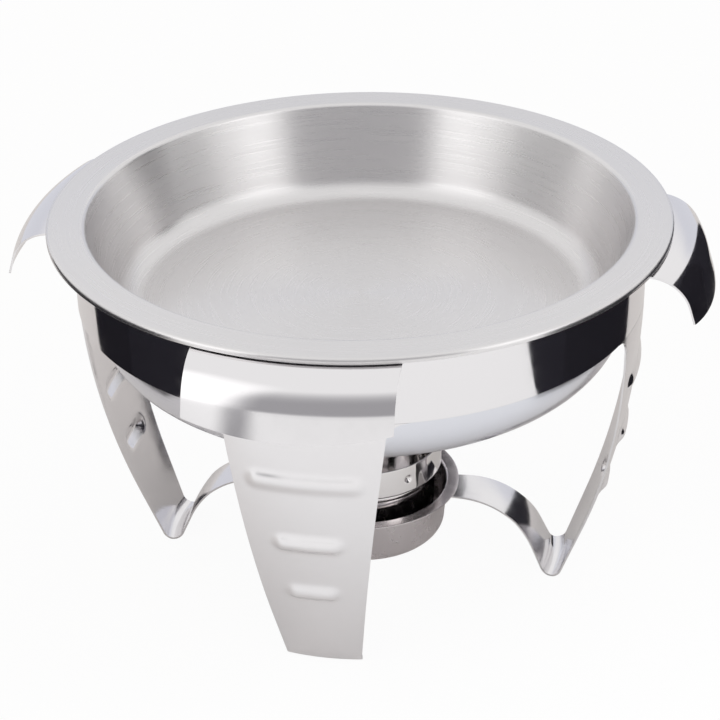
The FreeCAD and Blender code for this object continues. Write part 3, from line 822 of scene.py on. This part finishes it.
def add_lamp(name, sizes, place):
    """A soft square lamp that looks at the pan and isn't mirrored in the steel."""
    clear_selection()
    bpy.ops.object.light_add(type="AREA", location=place)
    lamp = bpy.context.object
    lamp.name = name
    lamp.data.shape = "SQUARE"
    lamp.data.size = sizes.lamp_side
    lamp.data.energy = sizes.lamp_power
    pan = Vector((0.0, 0.0, 0.2))
    lamp.rotation_euler = (pan - Vector(place)).to_track_quat("-Z", "Y").to_euler()
    lamp.visible_glossy = False


def add_card(name, place, width, bottom, top, material):
    """An upright card seen only in the steel; its place is x, y and its heading in degrees."""
    clear_selection()
    bpy.ops.mesh.primitive_plane_add(size=1.0, location=(0.0, 0.0, 0.0))
    card = bpy.context.object
    card.name = name
    card.data.name = name
    card.scale = (width, top - bottom, 1.0)
    card.rotation_euler = (math.radians(90.0), 0.0, math.radians(place[2]))
    card.location = (place[0], place[1], (bottom + top) / 2.0)
    bpy.ops.object.transform_apply(location=True, rotation=True, scale=True)
    card.data.materials.append(material)
    card.visible_camera = False
    card.visible_diffuse = False
    card.visible_shadow = False
    return card


def add_screen(name, feet, height, material):
    """Folded screen standing on these feet, one card for each panel."""
    for number, (start, end) in enumerate(zip(feet, feet[1:])):
        run = Vector(end) - Vector(start)
        middle = (Vector(start) + Vector(end)) / 2.0
        heading = math.degrees(math.atan2(run.y, run.x))
        panel = "%s_%d" % (name, number)
        add_card(panel, (middle.x, middle.y, heading), run.length, 0.0, height, material)


def dark_card(name, colour):
    """Matt dark card, plain all over."""
    material = bpy.data.materials.new(name)
    material.use_nodes = True
    shader = material.node_tree.nodes["Principled BSDF"]
    shader.inputs["Base Color"].default_value = linear(colour)
    shader.inputs["Roughness"].default_value = 1.0
    shader.inputs["Specular IOR Level"].default_value = 0.0
    return material


def soft_card(name, colour, strength, side, bottom, top):
    """Evenly glowing cloth that fades out at its edges.

    The last three are the shares of its width and height over which it fades,
    and none of them may be 0.
    """
    material = bpy.data.materials.new(name)
    material.use_nodes = True
    tree = material.node_tree
    tree.nodes.remove(tree.nodes["Principled BSDF"])
    place = add_node(tree, "ShaderNodeTexCoord").outputs["UV"]
    parts = add_node(tree, "ShaderNodeSeparateXYZ", links={"Vector": place})
    fades = (("X", 0.0, side), ("X", 1.0, 1.0 - side), ("Y", 0.0, bottom), ("Y", 1.0, 1.0 - top))
    level = None
    for axis, start, end in fades:
        fade = add_node(tree, "ShaderNodeMapRange", {"interpolation_type": "SMOOTHSTEP"}, {
            "From Min": start, "From Max": end}, {"Value": parts.outputs[axis]}).outputs[0]
        if level is not None:
            fade = add_node(tree, "ShaderNodeMath", {"operation": "MULTIPLY"},
                            links={0: level, 1: fade}).outputs[0]
        level = fade
    clear = add_node(tree, "ShaderNodeBsdfTransparent")
    cloth = add_node(tree, "ShaderNodeEmission",
                     values={"Color": linear(colour), "Strength": strength})
    mixed = add_node(tree, "ShaderNodeMixShader", links={
        "Fac": level, 1: clear.outputs[0], 2: cloth.outputs[0]})
    tree.links.new(mixed.outputs[0], tree.nodes["Material Output"].inputs["Surface"])
    return material


def white_surroundings(strength):
    """World that is plain white to the camera, and white of this strength elsewhere."""
    world = bpy.data.worlds.new("White surroundings")
    bpy.context.scene.world = world
    world.use_nodes = True
    tree = world.node_tree
    background = tree.nodes["Background"]
    background.inputs["Color"].default_value = (1.0, 1.0, 1.0, 1.0)
    rays = add_node(tree, "ShaderNodeLightPath")
    level = add_node(tree, "ShaderNodeMapRange", values={"To Min": strength, "To Max": 1.0},
                     links={"Value": rays.outputs["Is Camera Ray"]})
    tree.links.new(level.outputs[0], background.inputs["Strength"])


def white_floor(front, back):
    """Matt board, white in front and grey behind, that glows white to the camera; the grey behind is
    painted shade for the dimmer floor behind the pan, seen in the steel.
    """
    behind = (-0.56, 0.83, 0.0)
    white_until = -0.27
    painted_shade_from = 0.02
    glow_to_camera = 0.95
    glow_to_steel = 0.1
    material = bpy.data.materials.new("Matt white board")
    material.use_nodes = True
    tree = material.node_tree
    shader = tree.nodes["Principled BSDF"]
    place = add_node(tree, "ShaderNodeTexCoord").outputs["Object"]
    along = add_node(tree, "ShaderNodeVectorMath", {"operation": "DOT_PRODUCT"}, {1: behind},
                     {0: place})
    # Painted shade: the board turns from white to grey towards the back, where the floor lies in shade
    # behind the pan.
    depth = add_node(tree, "ShaderNodeMapRange", {"interpolation_type": "SMOOTHSTEP"}, {
        "From Min": white_until, "From Max": painted_shade_from}, {"Value": along.outputs["Value"]})
    board = add_node(tree, "ShaderNodeMix", {"data_type": "RGBA"},
                     {6: linear(front), 7: linear(back)}, {"Factor": depth.outputs[0]})
    tree.links.new(board.outputs[2], shader.inputs["Base Color"])
    shader.inputs["Roughness"].default_value = 0.9
    glow = add_node(tree, "ShaderNodeEmission",
                    values={"Color": (1.0, 1.0, 1.0, 1.0), "Strength": 1.0})
    rays = add_node(tree, "ShaderNodeLightPath")
    seen = add_node(tree, "ShaderNodeMath", {"operation": "MULTIPLY"}, {1: glow_to_camera},
                    {0: rays.outputs["Is Camera Ray"]})
    mirrored = add_node(tree, "ShaderNodeMath", {"operation": "MULTIPLY"}, {1: glow_to_steel},
                        {0: rays.outputs["Is Glossy Ray"]})
    part = add_node(tree, "ShaderNodeMath", {"operation": "MAXIMUM"},
                    links={0: seen.outputs[0], 1: mirrored.outputs[0]})
    mixed = add_node(tree, "ShaderNodeMixShader", links={
        "Fac": part.outputs[0], 1: shader.outputs[0], 2: glow.outputs[0]})
    tree.links.new(mixed.outputs[0], tree.nodes["Material Output"].inputs["Surface"])
    return material


def add_floor(sizes, colours):
    """Pale floor under the feet."""
    clear_selection()
    bpy.ops.mesh.primitive_plane_add(size=sizes.board, location=(0.0, 0.0, 0.0))
    floor = bpy.context.object
    floor.name = "floor"
    # The board's grey back half is painted shade.
    floor.data.materials.append(white_floor(colours.floor, colours.floor_painted_shade))


def add_flags():
    """Low dark screens on both sides and behind; the steel mirrors them as dark patches."""
    black = dark_card("Black card", "#28272D")
    right = ((0.62, -0.26), (0.345, -0.08), (0.33, 0.15), (0.41, 0.30))
    left = ((-0.45, -0.44), (-0.30, -0.13), (-0.37, -0.01), (-0.58, 0.17))
    add_screen("flag_right", right, 0.31, black)
    add_screen("flag_left", left, 0.31, black)
    back = add_card("flag_back", (0.95, 0.50, 0.0), 1.30, 0.0, 0.60, black)
    # Its upper left corner is cut off along a slope.
    cut(back, lambda c: True, (0.30, 0.5, 0.10), Vector((-1.55, 0.0, 1.0)).normalized())


def add_cloths():
    """Glowing cloths around the dish; the steel mirrors them as soft light and grey."""
    white = soft_card("White silk", "#FFFFFF", 1.50, side=0.34, bottom=0.08, top=0.70)
    post = soft_card("Grey post", "#ADACAF", 0.9, side=0.45, bottom=0.10, top=0.30)
    pale = soft_card("Pale cloth", "#E2E4EC", 1.0, side=0.15, bottom=0.02, top=0.35)
    grey = soft_card("Grey cloth", "#ADACAF", 1.0, side=0.12, bottom=0.06, top=0.72)
    # Name, x, y and heading, width, bottom, top, cloth.
    cloths = (
        ("cloth_back", (-0.356, 1.765, 191.4), 4.0, 0.0, 1.30, pale),
        ("silk_left", (-0.742, -0.743, -44.6), 1.10, 0.18, 2.40, white),
        ("silk_right", (0.953, -0.437, 65.4), 1.00, 0.18, 2.40, white),
        ("cloth_hook", (-0.58, -1.33, -23.6), 0.36, 0.0, 0.55, post),
        ("cloth_front", (0.297, -1.470, 11.4), 2.70, 0.28, 2.90, grey),
    )
    for name, place, width, bottom, top, cloth in cloths:
        add_card(name, place, width, bottom, top, cloth)


def add_camera(sizes):
    """Camera that stands at the eye and is turned by heading, tilt and roll."""
    camera_data = bpy.data.cameras.new("camera")
    camera = bpy.data.objects.new("camera", camera_data)
    bpy.context.scene.collection.objects.link(camera)
    camera_data.lens = sizes.lens
    camera_data.sensor_width = 36.0
    camera.location = sizes.eye
    turn = (Matrix.Rotation(sizes.heading, 3, "Z") @ Matrix.Rotation(sizes.tilt, 3, "X")
            @ Matrix.Rotation(sizes.roll, 3, "Z"))
    camera.rotation_euler = turn.to_euler()
    bpy.context.scene.camera = camera


class DISH_OT_stage(bpy.types.Operator):
    """Set up the floor, the surroundings, the cards, the lamps and the camera"""

    bl_idname = "dish.stage"
    bl_label = "Stage"

    def execute(self, context):
        sizes = context.scene.dish_stage
        add_floor(sizes, context.scene.dish_colours)
        white_surroundings(sizes.sky)
        add_flags()
        add_cloths()
        add_lamp("lamp_left", sizes, (-1.35, -1.65, 1.35))
        add_lamp("lamp_right", sizes, (1.80, -1.20, 1.35))
        add_camera(sizes)
        context.scene.view_settings.view_transform = "Standard"
        return {"FINISHED"}


class DISH_PT_panel(bpy.types.Panel):
    """Lists the steps in the sidebar"""

    bl_idname = "DISH_PT_panel"
    bl_label = "Chafing dish"
    bl_space_type = "VIEW_3D"
    bl_region_type = "UI"
    bl_category = "Chafing dish"

    def draw(self, context):
        for step in STEPS:
            self.layout.operator(step.bl_idname)


GROUPS = {
    "dish_pans": PanSizes,
    "dish_stand": StandSizes,
    "dish_fuel": FuelSizes,
    "dish_colours": FinishColours,
    "dish_stage": StageSizes,
}
STEPS = (DISH_OT_food_pan, DISH_OT_water_pan, DISH_OT_ring, DISH_OT_legs, DISH_OT_handles,
         DISH_OT_fuel_dish, DISH_OT_fuel_cup, DISH_OT_stage)


def register():
    """Register the classes and hang each group of properties on the scene."""
    for group in GROUPS.values():
        bpy.utils.register_class(group)
    for name, group in GROUPS.items():
        setattr(bpy.types.Scene, name, PointerProperty(type=group))
    for step in STEPS:
        bpy.utils.register_class(step)
    bpy.utils.register_class(DISH_PT_panel)


def unregister():
    """Undo register in the opposite order."""
    bpy.utils.unregister_class(DISH_PT_panel)
    for step in reversed(STEPS):
        bpy.utils.unregister_class(step)
    for name in GROUPS:
        delattr(bpy.types.Scene, name)
    for group in reversed(list(GROUPS.values())):
        bpy.utils.unregister_class(group)


def main():
    """Build the dish and its stage in order."""
    register()
    bpy.ops.dish.food_pan()
    bpy.ops.dish.water_pan()
    bpy.ops.dish.ring()
    bpy.ops.dish.legs()
    bpy.ops.dish.handles()
    bpy.ops.dish.fuel_dish()
    bpy.ops.dish.fuel_cup()
    bpy.ops.dish.stage()


if __name__ == "__main__":
    main()
